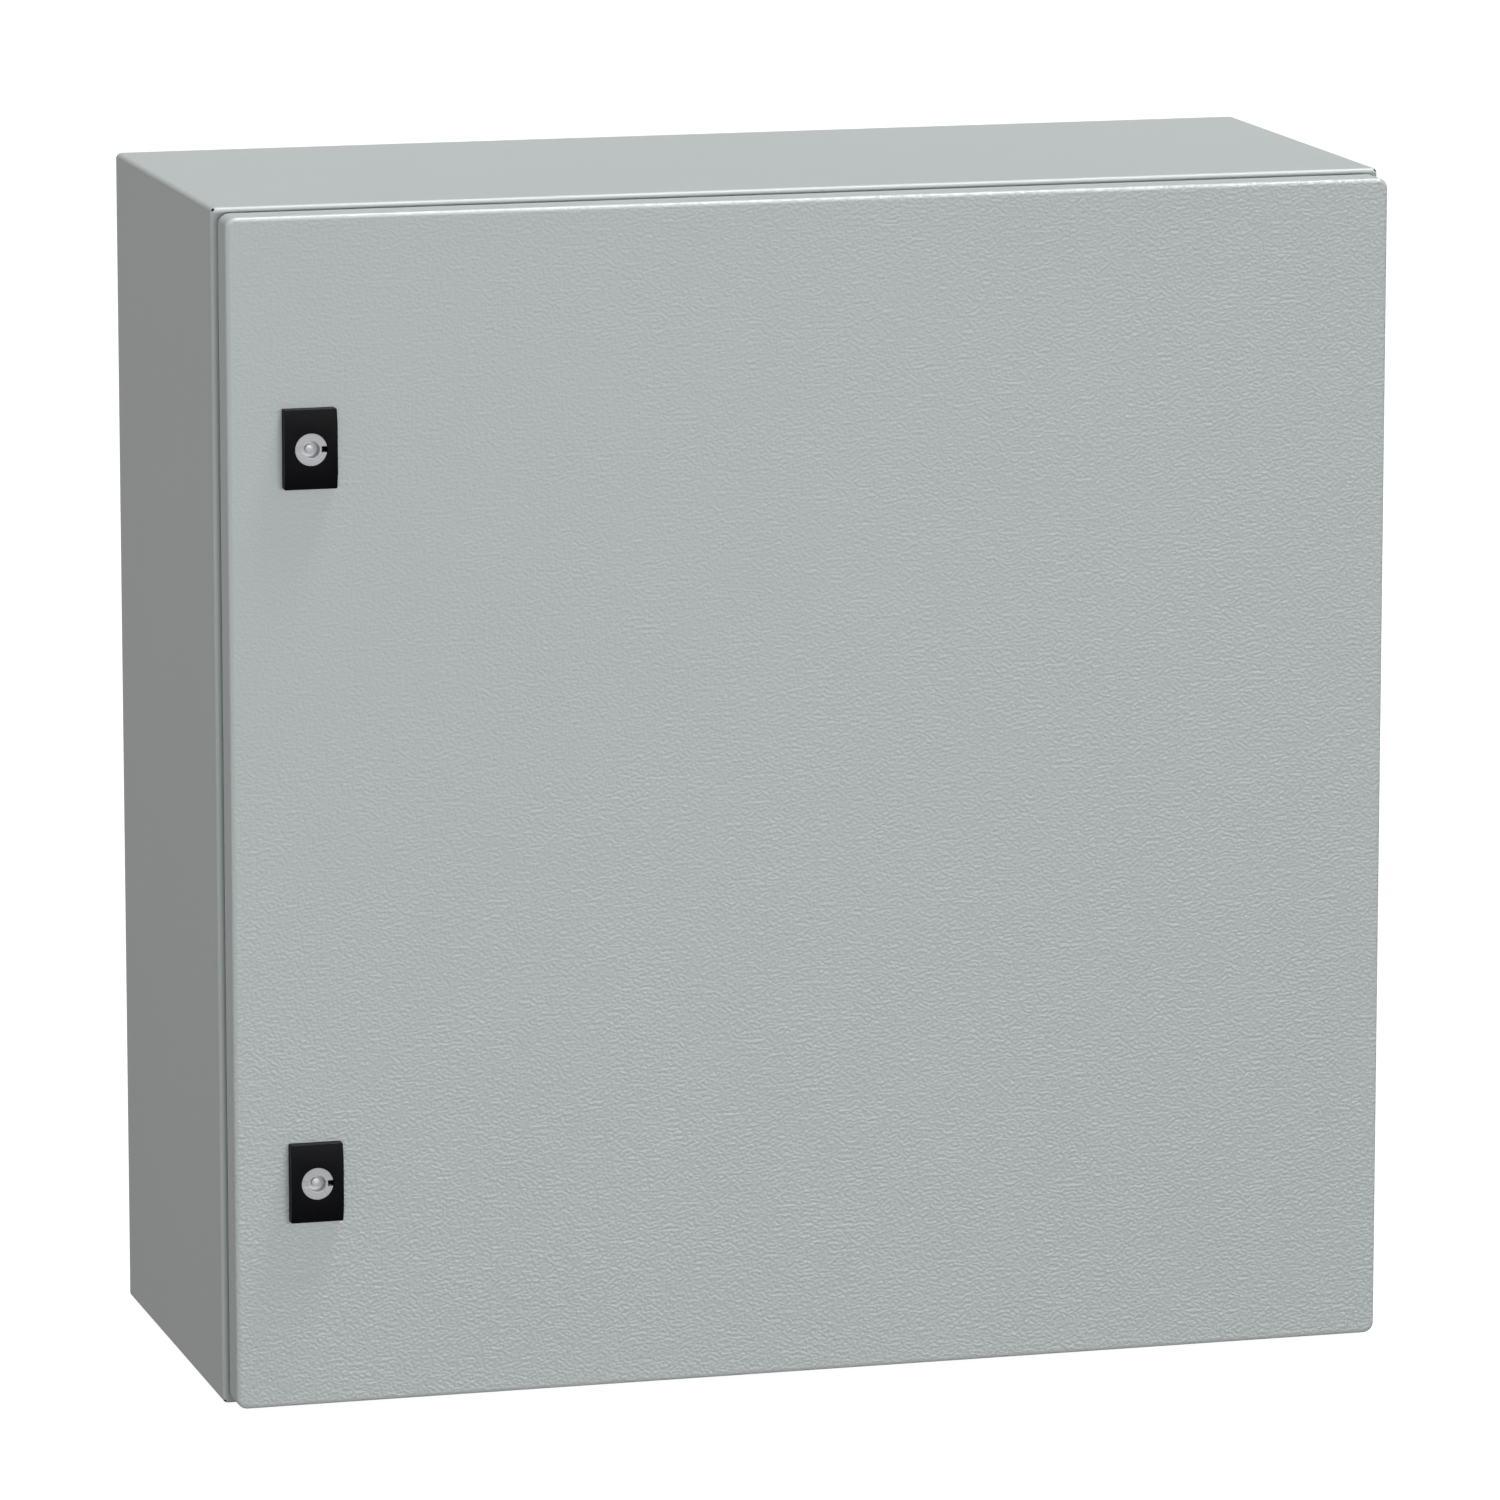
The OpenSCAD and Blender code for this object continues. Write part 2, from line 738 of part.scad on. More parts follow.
module lower_cam_screw() color(zinc_plate) stand() at_lock(-1) cam_screw();

// ---------- nodes ----------

body_wrapper();
back_panel();
mounting_plate();
plate_studs();
plate_washers();
plate_nuts();
gland_plate();
gland_gasket();
gland_studs();
gland_nuts();
body_earth_stud();
body_earth_nut();
upper_hinge_body_leaf();
lower_hinge_body_leaf();
upper_hinge_pin();
lower_hinge_pin();
hinge_body_screws();
door_panel();
door_gasket();
door_stiffener_left();
door_stiffener_right();
upper_hinge_door_leaf();
lower_hinge_door_leaf();
hinge_door_studs();
hinge_door_nuts();
door_earth_stud();
door_earth_nut();
upper_lock_housing();
lower_lock_housing();
upper_lock_seal();
lower_lock_seal();
upper_lock_nut();
lower_lock_nut();
upper_lock_insert();
lower_lock_insert();
upper_lock_o_ring();
lower_lock_o_ring();
upper_lock_cam();
lower_lock_cam();
upper_cam_screw();
lower_cam_screw();
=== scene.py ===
import json
import math

import bmesh
import bpy
from mathutils import Matrix, Vector, noise

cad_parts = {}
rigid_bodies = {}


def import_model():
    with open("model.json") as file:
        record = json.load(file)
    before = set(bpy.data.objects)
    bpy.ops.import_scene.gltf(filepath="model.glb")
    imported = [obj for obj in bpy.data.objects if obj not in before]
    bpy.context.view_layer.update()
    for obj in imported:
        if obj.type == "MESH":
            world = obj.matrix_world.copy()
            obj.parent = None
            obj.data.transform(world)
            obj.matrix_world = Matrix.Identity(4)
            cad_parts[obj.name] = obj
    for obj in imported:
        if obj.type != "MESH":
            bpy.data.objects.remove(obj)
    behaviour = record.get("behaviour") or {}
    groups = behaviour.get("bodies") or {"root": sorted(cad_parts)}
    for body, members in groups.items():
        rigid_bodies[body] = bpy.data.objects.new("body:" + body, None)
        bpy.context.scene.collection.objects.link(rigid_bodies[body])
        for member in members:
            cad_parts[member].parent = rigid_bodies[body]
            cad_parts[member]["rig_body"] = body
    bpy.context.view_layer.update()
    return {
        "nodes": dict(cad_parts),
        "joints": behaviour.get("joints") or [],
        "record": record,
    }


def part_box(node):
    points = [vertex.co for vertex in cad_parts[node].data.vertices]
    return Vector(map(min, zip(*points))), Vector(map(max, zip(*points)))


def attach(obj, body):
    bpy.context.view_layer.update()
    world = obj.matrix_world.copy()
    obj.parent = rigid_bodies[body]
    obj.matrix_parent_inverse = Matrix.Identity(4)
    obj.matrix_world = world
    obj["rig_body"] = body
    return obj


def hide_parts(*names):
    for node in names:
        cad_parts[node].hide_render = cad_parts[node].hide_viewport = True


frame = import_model()

MM = 0.001
NODES = frame["nodes"]
JOINT_AT = {joint["name"]: Vector(joint["pos_m"]) for joint in frame["joints"]}
BODY_OF = {node: obj["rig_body"] for node, obj in NODES.items()}
SLOT_OF = {part["node"]: part["material_slot"] for part in frame["record"]["subparts"]}

# Unit directions of a fastener's axis, from its fixed end to its free end
INTO_CABINET = Vector((0, 1, 0))
OUT_OF_CABINET = Vector((0, -1, 0))
UP = Vector((0, 0, 1))

# The two locks
SIDES = ("upper", "lower")


# ---------- material helpers ----------

def new_material(name, base, roughness, metallic=0.0, specular=0.5):
    """A material whose uniform values sit directly on its shader's sockets."""
    material = bpy.data.materials.new(name)
    material.use_nodes = True
    shader = material.node_tree.nodes["Principled BSDF"]
    shader.inputs["Base Color"].default_value = (*base, 1)
    shader.inputs["Roughness"].default_value = roughness
    shader.inputs["Metallic"].default_value = metallic
    shader.inputs["Specular IOR Level"].default_value = specular
    return material, material.node_tree, shader


def add(tree, kind, settings=None, **inputs):
    """Adds a node. An input is a number, a vector or another node's output socket."""
    made = tree.nodes.new(kind)
    for key, value in (settings or {}).items():
        setattr(made, key, value)
    for key, value in inputs.items():
        socket = made.inputs[int(key[1:])] if key[0] == "_" and key[1:].isdigit() else made.inputs[key]
        if isinstance(value, bpy.types.NodeSocket):
            tree.links.new(value, socket)
        else:
            socket.default_value = value
    return made


def coordinates(tree, origin=(0, 0, 0), stretch=(1, 1, 1)):
    """Position on the object at rest, measured from origin."""
    place = add(tree, "ShaderNodeTexCoord").outputs["Object"]
    moved = add(tree, "ShaderNodeVectorMath", {"operation": "SUBTRACT"}, _0=place, _1=origin)
    return add(tree, "ShaderNodeVectorMath", {"operation": "MULTIPLY"},
               _0=moved.outputs[0], _1=stretch).outputs[0]


def noise_at(tree, where, cell, detail=2.0, roughness=0.5, distortion=0.0):
    """Noise whose cells are about `cell` metres across."""
    made = add(tree, "ShaderNodeTexNoise", Vector=where, Scale=1 / cell, Detail=detail,
               Roughness=roughness, Distortion=distortion)
    return made.outputs["Fac"]


def math_of(tree, operation, first, second=0.0, third=0.0):
    made = add(tree, "ShaderNodeMath", {"operation": operation}, _0=first, _1=second)
    if operation == "MULTIPLY_ADD":
        if isinstance(third, bpy.types.NodeSocket):
            tree.links.new(third, made.inputs[2])
        else:
            made.inputs[2].default_value = third
    return made.outputs[0]


def ranged(tree, value, low, high, to_low, to_high, curve="LINEAR"):
    """Carries value from the range low..high to the range to_low..to_high, clamped."""
    made = add(tree, "ShaderNodeMapRange", {"interpolation_type": curve}, Value=value)
    made.inputs["From Min"].default_value = low
    made.inputs["From Max"].default_value = high
    made.inputs["To Min"].default_value = to_low
    made.inputs["To Max"].default_value = to_high
    return made.outputs[0]


def mottle(tree, shader, value, dark, light, low=0.3, high=0.7):
    """Colours the surface from dark to light as value rises from low to high."""
    ramp = add(tree, "ShaderNodeValToRGB", Fac=value)
    ramp.color_ramp.elements[0].position = low
    ramp.color_ramp.elements[0].color = (*dark, 1)
    ramp.color_ramp.elements[1].position = high
    ramp.color_ramp.elements[1].color = (*light, 1)
    tree.links.new(ramp.outputs["Color"], shader.inputs["Base Color"])


def scaled(colour, factor):
    return tuple(channel * factor for channel in colour)


def bump(tree, shader, height, depth, strength=1.0):
    """Raises the surface by depth metres where height is 1."""
    made = add(tree, "ShaderNodeBump", Height=height, Distance=depth, Strength=strength)
    tree.links.new(made.outputs["Normal"], shader.inputs["Normal"])


# ---------- materials ----------

PAINT = (0.440, 0.474, 0.472)
PAINT_ROUGHNESS = 0.44
BODY_SPECULAR = 0.36
# The grain in the paint: its cells' size, their height as a share of their width, and its depth
GRAIN_CELL = 1.48 * MM
GRAIN_ASPECT = 0.80
GRAIN_DEPTH = 0.75 * MM
FINE_CELL = 0.7 * MM
BODY_GRAIN = 0.15
# Shares of that depth in the door's corners, and the shares of the door's height, from its top,
# between which the upper ones pass into the lower ones
GRAIN_TOP_LEFT = 0.26
GRAIN_TOP_RIGHT = 0.82
GRAIN_LOW_LEFT = 0.95
GRAIN_LOW_RIGHT = 1.06
GRAIN_GROWS_FROM = 0.26
GRAIN_GROWS_TO = 0.98
# The inserts' key recess, and the relief holes behind the lip in the body's front corners, with how far
# the shade painted in each hole reaches
KEY_RECESS_RADIUS = 4.2 * MM
LIP_HEIGHT = 13.5 * MM
RELIEF_DEPTH = 3.2 * MM
RELIEF_SHADE_REACH = 1.4 * MM


def powder_coat(name, depth_factor=1.0, panel=None, specular=0.5):
    """Light grey powder coat with an orange-peel grain. Over a panel, given by its box, its grain gets
    deeper towards the right and the bottom; without one it is even."""
    material, tree, shader = new_material(name, PAINT, PAINT_ROUGHNESS, specular=specular)
    where = coordinates(tree)
    wide = coordinates(tree, stretch=(GRAIN_ASPECT, 1, 1))
    grain = noise_at(tree, wide, GRAIN_CELL, detail=0.6, roughness=0.45, distortion=0.2)
    fine = noise_at(tree, where, FINE_CELL, detail=1.0)
    height = math_of(tree, "MULTIPLY_ADD", fine, 0.05, grain)
    patches = noise_at(tree, where, 38 * MM, detail=1.0)
    depth = ranged(tree, patches, 0.35, 0.65, 0.93 * depth_factor, 1.07 * depth_factor)
    if panel:
        low, high = panel
        place = add(tree, "ShaderNodeSeparateXYZ", Vector=where)
        upper = ranged(tree, place.outputs["X"], low.x, high.x, GRAIN_TOP_LEFT, GRAIN_TOP_RIGHT)
        lower = ranged(tree, place.outputs["X"], low.x, high.x, GRAIN_LOW_LEFT, GRAIN_LOW_RIGHT)
        down = ranged(tree, place.outputs["Z"], high.z - GRAIN_GROWS_FROM * (high.z - low.z),
                      high.z - GRAIN_GROWS_TO * (high.z - low.z), 0.0, 1.0, "SMOOTHSTEP")
        growth = add(tree, "ShaderNodeMix", _0=down, _2=upper, _3=lower).outputs[0]
        depth = math_of(tree, "MULTIPLY", depth, growth)
    bump(tree, shader, math_of(tree, "MULTIPLY", height, depth), GRAIN_DEPTH)
    tone = noise_at(tree, where, 60 * MM, detail=3.0)
    mottle(tree, shader, tone, scaled(PAINT, 0.994), scaled(PAINT, 1.006))
    gloss = ranged(tree, fine, 0.3, 0.7, PAINT_ROUGHNESS - 0.03, PAINT_ROUGHNESS + 0.03)
    tree.links.new(gloss, shader.inputs["Roughness"])
    return material


def paint_relief_shade(coat, wrapper):
    """Paints shade into the relief holes of the wrapper's front corners: deep in each hole the coat's
    colour and reflection fall almost to black.
    """
    tree = coat.node_tree
    shader = tree.nodes["Principled BSDF"]
    low, high = wrapper
    middle, half = (low + high) / 2, (high - low) / 2
    inset = RELIEF_DEPTH / math.sqrt(3)
    place = add(tree, "ShaderNodeSeparateXYZ", Vector=coordinates(tree, origin=(middle.x, 0, middle.z)))
    folded = add(tree, "ShaderNodeCombineXYZ", X=math_of(tree, "ABSOLUTE", place.outputs["X"]),
                 Y=place.outputs["Y"], Z=math_of(tree, "ABSOLUTE", place.outputs["Z"])).outputs[0]
    hole = (half.x - inset, low.y + LIP_HEIGHT + inset, half.z - inset)
    far = add(tree, "ShaderNodeVectorMath", {"operation": "DISTANCE"}, _0=folded, _1=hole).outputs["Value"]
    # Painted shade: near each hole's point the colour and the reflection are scaled down to 3%
    light = ranged(tree, far, 0.93 * RELIEF_SHADE_REACH, RELIEF_SHADE_REACH, 0.03, 1.0)
    colour = shader.inputs["Base Color"].links[0].from_socket
    shaded_colour = add(tree, "ShaderNodeVectorMath", {"operation": "SCALE"}, _0=colour, Scale=light)
    tree.links.new(shaded_colour.outputs[0], shader.inputs["Base Color"])
    tree.links.new(math_of(tree, "MULTIPLY", light, BODY_SPECULAR), shader.inputs["Specular IOR Level"])


def galvanised_sheet(name):
    """Zinc-coated plate with a fine spangle."""
    zinc = (0.60, 0.62, 0.64)
    material, tree, shader = new_material(name, zinc, 0.42, metallic=1.0)
    where = coordinates(tree)
    warp = noise_at(tree, where, 9 * MM, detail=2.0)
    bent = add(tree, "ShaderNodeVectorMath", {"operation": "MULTIPLY_ADD"}, _0=(0.004, 0.004, 0.004),
               _1=warp, _2=where).outputs[0]
    cells = add(tree, "ShaderNodeTexVoronoi", Vector=bent, Scale=1 / (11 * MM)).outputs["Color"]
    split = add(tree, "ShaderNodeSeparateColor", Color=cells)
    mottle(tree, shader, split.outputs[0], scaled(zinc, 0.93), scaled(zinc, 1.05), 0.1, 0.9)
    tree.links.new(ranged(tree, split.outputs[1], 0, 1, 0.40, 0.50), shader.inputs["Roughness"])
    bump(tree, shader, noise_at(tree, where, 0.8 * MM, detail=2.0), 0.02 * MM)
    return material


def zinc_plating(name):
    """Bright zinc plate with faint yellow and blue passivation."""
    material, tree, shader = new_material(name, (0.66, 0.66, 0.63), 0.30, metallic=1.0)
    where = coordinates(tree)
    mottle(tree, shader, noise_at(tree, where, 6 * MM, detail=3.0), (0.56, 0.58, 0.60), (0.72, 0.70, 0.62))
    smears = noise_at(tree, coordinates(tree, stretch=(1, 1, 6)), 3 * MM, detail=3.0)
    tree.links.new(ranged(tree, smears, 0.3, 0.7, 0.22, 0.40), shader.inputs["Roughness"])
    bump(tree, shader, noise_at(tree, where, 0.5 * MM, detail=2.0), 0.012 * MM)
    return material


def zinc_casting(name):
    """Die-cast zinc with a fine cast skin."""
    base = (0.56, 0.56, 0.57)
    material, tree, shader = new_material(name, base, 0.42, metallic=1.0)
    where = coordinates(tree)
    mottle(tree, shader, noise_at(tree, where, 4 * MM, detail=4.0), scaled(base, 0.88), scaled(base, 1.10))
    skin = noise_at(tree, where, 0.5 * MM, detail=2.0)
    tree.links.new(ranged(tree, skin, 0.3, 0.7, 0.36, 0.50), shader.inputs["Roughness"])
    bump(tree, shader, skin, 0.03 * MM)
    return material


def turned_casting(name, axis_point):
    """Die-cast zinc with a turned face, ringed round the axis through axis_point, and a glossier, more
    metallic key recess with painted light: its colour is lifted against the shade inside it.
    """
    base = (0.445, 0.45, 0.465)
    material, tree, shader = new_material(name, base, 0.48, metallic=0.15)
    where = coordinates(tree, origin=axis_point, stretch=(1, 0, 1))
    radius = add(tree, "ShaderNodeVectorMath", {"operation": "LENGTH"}, _0=where).outputs["Value"]
    wobble = noise_at(tree, where, 2.5 * MM, detail=2.0)
    spread = math_of(tree, "MULTIPLY_ADD", wobble, 0.1 * MM, radius)
    rings = add(tree, "ShaderNodeTexNoise", {"noise_dimensions": "1D"}, W=spread, Scale=1 / (0.22 * MM),
                Detail=1.0).outputs["Fac"]
    skin = noise_at(tree, coordinates(tree), 0.9 * MM, detail=2.0)
    mottle(tree, shader, math_of(tree, "MULTIPLY_ADD", rings, 0.5, math_of(tree, "MULTIPLY", skin, 0.5)),
           scaled(base, 0.96), scaled(base, 1.03))
    turned = shader.inputs["Base Color"].links[0].from_socket

    def recess(inside, outside):
        return ranged(tree, radius, KEY_RECESS_RADIUS - 0.2 * MM, KEY_RECESS_RADIUS + 0.3 * MM,
                      inside, outside)

    # Painted light: the recess's colour is lifted 1.35 times against the shade inside it; its extra metal
    # and gloss are the finish's own
    bright = add(tree, "ShaderNodeVectorMath", {"operation": "SCALE"}, _0=turned, Scale=recess(1.35, 1.0))
    tree.links.new(bright.outputs[0], shader.inputs["Base Color"])
    tree.links.new(recess(0.30, 0.15), shader.inputs["Metallic"])
    dull = ranged(tree, skin, 0.3, 0.7, 0.42, 0.54)
    tree.links.new(math_of(tree, "MULTIPLY", dull, recess(0.88, 1.0)), shader.inputs["Roughness"])
    bump(tree, shader, math_of(tree, "MULTIPLY_ADD", rings, 0.5, skin), 0.006 * MM)
    return material


def black_polyamide(name):
    """Moulded black polyamide with a fine spark-eroded texture."""
    material, tree, shader = new_material(name, (0.0018, 0.0020, 0.0027), 0.55, specular=0.10)
    where = coordinates(tree)
    skin = noise_at(tree, where, 0.35 * MM, detail=2.0)
    mottle(tree, shader, noise_at(tree, where, 3 * MM, detail=3.0),
           (0.0015, 0.0017, 0.0024), (0.0021, 0.0023, 0.0030))
    tree.links.new(ranged(tree, skin, 0.3, 0.7, 0.45, 0.58), shader.inputs["Roughness"])
    bump(tree, shader, skin, 0.025 * MM)
    return material


def gasket_foam(name):
    """Foamed-in-place polyurethane: a matt skin with open pores here and there."""
    material, tree, shader = new_material(name, (0.035, 0.035, 0.037), 0.85, specular=0.3)
    where = coordinates(tree)
    pores = add(tree, "ShaderNodeTexVoronoi", Vector=where, Scale=1 / (1.1 * MM)).outputs["Distance"]
    pits = ranged(tree, pores, 0.0, 0.28, 0.0, 1.0)
    skin = noise_at(tree, where, 2.2 * MM, detail=3.0)
    mottle(tree, shader, skin, (0.026, 0.026, 0.028), (0.044, 0.044, 0.046))
    bump(tree, shader, math_of(tree, "MULTIPLY_ADD", pits, 0.5, skin), 0.18 * MM)
    return material


def seal_rubber(name):
    """Black nitrile rubber."""
    material, tree, shader = new_material(name, (0.012, 0.012, 0.012), 0.60, specular=0.4)
    where = coordinates(tree)
    skin = noise_at(tree, where, 0.6 * MM, detail=2.0)
    mottle(tree, shader, skin, (0.009, 0.009, 0.009), (0.015, 0.015, 0.015))
    bump(tree, shader, skin, 0.02 * MM)
    return material


FINISH = {
    "paint": powder_coat("paint_coat", depth_factor=BODY_GRAIN, specular=BODY_SPECULAR),
    "door_paint": powder_coat("door_coat", panel=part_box("door_panel")),
    "galvanised_sheet": galvanised_sheet("galvanised_plate"),
    "zinc_plated_steel": zinc_plating("zinc_plating"),
    "zinc_casting": zinc_casting("cast_zinc"),
    "black_polyamide": black_polyamide("black_moulding"),
    "gasket_foam": gasket_foam("foam_skin"),
    "seal_rubber": seal_rubber("nitrile_rubber"),
}
# Paints shade into the relief holes of the body's front corners
paint_relief_shade(FINISH["paint"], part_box("body_wrapper"))
INSERT_FINISH = {side: turned_casting(f"turned_{side}_insert", JOINT_AT[f"{side}_lock_turn"])
                 for side in SIDES}


# ---------- mesh helpers ----------

def solids(node):
    """The (lowest, highest) corners of each separate solid in a CAD node."""
    mesh = bmesh.new()
    mesh.from_mesh(NODES[node].data)
    bmesh.ops.remove_doubles(mesh, verts=mesh.verts, dist=1e-6)
    left, found = set(mesh.verts), []
    while left:
        stack = [left.pop()]
        group = []
        while stack:
            vertex = stack.pop()
            group.append(vertex.co.copy())
            for edge in vertex.link_edges:
                other = edge.other_vert(vertex)
                if other in left:
                    left.discard(other)
                    stack.append(other)
        found.append((Vector(map(min, *group)), Vector(map(max, *group))))
    mesh.free()
    return sorted(found, key=lambda box: (round(box[0].z, 4), round(box[0].x, 4), round(box[0].y, 4)))


def finish_piece(name, mesh, node, material=None, smooth_deg=35):
    """Turns bmesh data into a piece that stands for a CAD node, on its body and slot."""
    bmesh.ops.recalc_face_normals(mesh, faces=mesh.faces)
    data = bpy.data.meshes.new(name)
    mesh.to_mesh(data)
    mesh.free()
    data.shade_smooth()
    data.set_sharp_from_angle(angle=math.radians(smooth_deg))
    piece = bpy.data.objects.new(name, data)
    bpy.context.scene.collection.objects.link(piece)
    data.materials.append(material or FINISH[SLOT_OF[node]])
    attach(piece, BODY_OF[node])
    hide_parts(node)
    return piece


def softened(node, radius, segments=2, material=None, sharp_deg=28):
    """A copy of a CAD node whose sharp edges are rounded."""
    mesh = bmesh.new()
    mesh.from_mesh(NODES[node].data)
    bmesh.ops.remove_doubles(mesh, verts=mesh.verts, dist=1e-6)
    bmesh.ops.dissolve_limit(mesh, angle_limit=math.radians(0.3), verts=mesh.verts, edges=mesh.edges)
    sharp = [edge for edge in mesh.edges
             if len(edge.link_faces) == 2 and edge.calc_face_angle(0) > math.radians(sharp_deg)]
    bmesh.ops.bevel(mesh, geom=sharp, offset=radius, offset_type="OFFSET", segments=segments,
                    profile=0.5, affect="EDGES", clamp_overlap=True, harden_normals=False)
    bmesh.ops.triangulate(mesh, faces=[face for face in mesh.faces if len(face.verts) > 4])
    piece = finish_piece(f"{node}_rounded", mesh, node, material)
    weighted = piece.modifiers.new("flat_faces", "WEIGHTED_NORMAL")
    weighted.keep_sharp = True
    return piece


def turned(mesh, profile, steps, place, shape=None, closed=False):
    """Adds a turned solid. The profile is a list of (radius, height); shape(radius, angle, height)
    may change a point's radius; closed joins the profile's end to its start, as in a ring."""
    rings = []
    for radius, height in profile:
        ring = []
        for k in range(steps):
            angle = 2 * math.pi * k / steps
            r = shape(radius, angle, height) if shape else radius
            ring.append(mesh.verts.new(place @ Vector((r * math.cos(angle), r * math.sin(angle), height))))
        rings.append(ring)
    pairs = list(zip(rings, rings[1:]))
    if closed:
        pairs.append((rings[-1], rings[0]))
    for low, high in pairs:
        for k in range(steps):
            mesh.faces.new((low[k], low[(k + 1) % steps], high[(k + 1) % steps], high[k]))
    if not closed:
        mesh.faces.new(rings[0][::-1])
        mesh.faces.new(rings[-1])


def axis_place(origin, axis):
    """A matrix that carries the z axis to a direction at a place."""
    return Matrix.Translation(origin) @ UP.rotation_difference(axis).to_matrix().to_4x4()


def standing(box, axis):
    """Where the solid in a box starts along an axis, and its length along it."""
    low, high = box
    length = abs((high - low).dot(axis))
    return axis_place((low + high) / 2 - axis * length / 2, axis), length


# ---------- hardware ----------

# Radius and pitch of each thread
M5 = (2.5 * MM, 0.8 * MM)
M6 = (3.0 * MM, 1.0 * MM)
M8 = (4.0 * MM, 1.25 * MM)
M20 = (10.0 * MM, 1.5 * MM)
# Depth of a thread as a share of its pitch, and how finely its helix is cut
THREAD_DEPTH = 0.56
RINGS_PER_TURN = 6
RUNNING_CLEARANCE = 0.05 * MM
SHEET = 1.5 * MM
LOCK_FLATS = 18 * MM
GASKET_WIDTH = 10 * MM
GASKET_CORNER = 12 * MM
GASKET_POINTS = 19
COLLAR_RADIUS = 7 * MM
LOCK_ROUNDING = 0.22 * MM

# How far each plain-edged node's edges are rounded
EDGE_ROUNDING = {
    "mounting_plate": 0.25 * MM, "gland_plate": 0.2 * MM,
    "door_stiffener_left": 0.2 * MM, "door_stiffener_right": 0.2 * MM,
    "upper_hinge_body_leaf": 0.5 * MM, "lower_hinge_body_leaf": 0.5 * MM,
    "upper_hinge_door_leaf": 0.4 * MM, "lower_hinge_door_leaf": 0.4 * MM,
    "upper_hinge_pin": 0.35 * MM, "lower_hinge_pin": 0.35 * MM, "hinge_body_screws": 0.3 * MM,
    "upper_lock_cam": 0.4 * MM, "lower_lock_cam": 0.4 * MM,
    "upper_cam_screw": 0.25 * MM, "lower_cam_screw": 0.25 * MM,
}


def thread_shape(thread, free_end, hold=None):
    """A shape for turned(): a helix on the points at the thread's radius, with a chamfered free end.
    hold(angle) is the largest radius allowed at an angle, where the thread has flats."""
    radius, pitch = thread

    def shape(r, angle, height):
        if abs(r - radius) < 1e-7:
            turn = (height / pitch - angle / (2 * math.pi)) % 1
            groove = THREAD_DEPTH * pitch * abs(2 * turn - 1)
            r = min(r - groove, radius - THREAD_DEPTH * pitch + abs(free_end - height))
        return min(r, hold(angle)) if hold else r
    return shape


def thread_heights(thread, low, high):
    """Heights of a thread's rings between two heights."""
    count = max(2, round(RINGS_PER_TURN * (high - low) / thread[1]))
    return [low + (high - low) * k / count for k in range(count + 1)]


def stud(mesh, place, thread, length, foot=()):
    """Adds a threaded stud. foot is the turned profile below its thread."""
    start = foot[-1][1] if foot else 0.0
    rod = [(thread[0], height) for height in thread_heights(thread, start, length)]
    turned(mesh, [*foot, *rod], 24, place, thread_shape(thread, length))


def welded_foot(thread):
    """The small flange of metal pressed out where a stud is welded on."""
    radius = thread[0]
    return ((radius + 0.5 * MM, 0.0), (radius + 0.5 * MM, 0.25 * MM), (radius - 0.1 * MM, 0.7 * MM))


def collar_foot(radius, height, thread):
    """The collar that holds a plate off the wall, and the groove above it."""
    edge = 0.5 * MM
    return ((radius, 0.0), (radius, height - edge), (radius - edge, height),
            (thread[0] - 0.3 * MM, height), (thread[0] - 0.3 * MM, height + 0.6 * MM))


def nut(mesh, place, width, height, bore, corner_at=0.0):
    """Adds a hexagon nut, chamfered at both ends, `width` across its flats."""
    flat, corner = width / 2, width / math.sqrt(3)
    face = 0.95 * flat
    rim = [(face + (corner - face) * k / 5, (corner - face) * math.tan(math.radians(30)) * k / 5)
           for k in range(6)]
    outside = rim + [(radius, height - z) for radius, z in reversed(rim)]
    mouth = min(0.4 * MM, (face - bore) / 2)
    inside = [(bore + mouth, height), (bore, height - mouth), (bore, mouth), (bore + mouth, 0.0)]

    def shape(radius, angle, _):
        off_flat = (angle - corner_at) % math.radians(60) - math.radians(30)
        return min(radius, flat / math.cos(off_flat)) if radius >= face else radius
    turned(mesh, outside + inside, 72, place, shape, closed=True)


def washer(mesh, place, radius, bore, height):
    """Adds a washer whose edges are broken."""
    edge = 0.2 * MM
    turned(mesh, [(radius - edge, 0.0), (radius, edge), (radius, height - edge), (radius - edge, height),
                  (bore + edge, height), (bore, height - edge), (bore, edge), (bore + edge, 0.0)],
           48, place, closed=True)


def remake_studs(node, axis, thread, collar=None):
    """Threaded studs in place of a node's plain ones. collar is its (radius, height)."""
    mesh = bmesh.new()
    for box in solids(node):
        place, length = standing(box, axis)
        stud(mesh, place, thread, length, collar_foot(*collar, thread) if collar else welded_foot(thread))
    finish_piece(f"{node}_threaded", mesh, node)


def remake_nuts(node, axis, thread):
    """Chamfered nuts and washers in place of a node's plain ones."""
    mesh = bmesh.new()
    for box in solids(node):
        place, height = standing(box, axis)
        size = box[1] - box[0]
        across = sorted(v for v, along in zip(size, axis) if abs(along) < 0.5)
        if height < 2 * MM:
            washer(mesh, place, across[0] / 2, thread[0] + 0.2 * MM, height)
        else:
            on_x = size.x > across[0] + 1e-5
            nut(mesh, place, across[0], height, thread[0] + RUNNING_CLEARANCE,
                0.0 if on_x else math.radians(30))
    finish_piece(f"{node}_chamfered", mesh, node)


def remake_earth_nut(node, axis, thread, washer_height, width):
    """A chamfered nut on its washer in place of a node's plain pair."""
    mesh = bmesh.new()
    low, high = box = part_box(node)
    place, height = standing(box, axis)
    washer(mesh, place, (high.x - low.x) / 2, thread[0] + 0.2 * MM, washer_height)
    nut(mesh, place @ Matrix.Translation((0, 0, washer_height)), width, height - washer_height,
        thread[0] + RUNNING_CLEARANCE)
    finish_piece(f"{node}_chamfered", mesh, node)


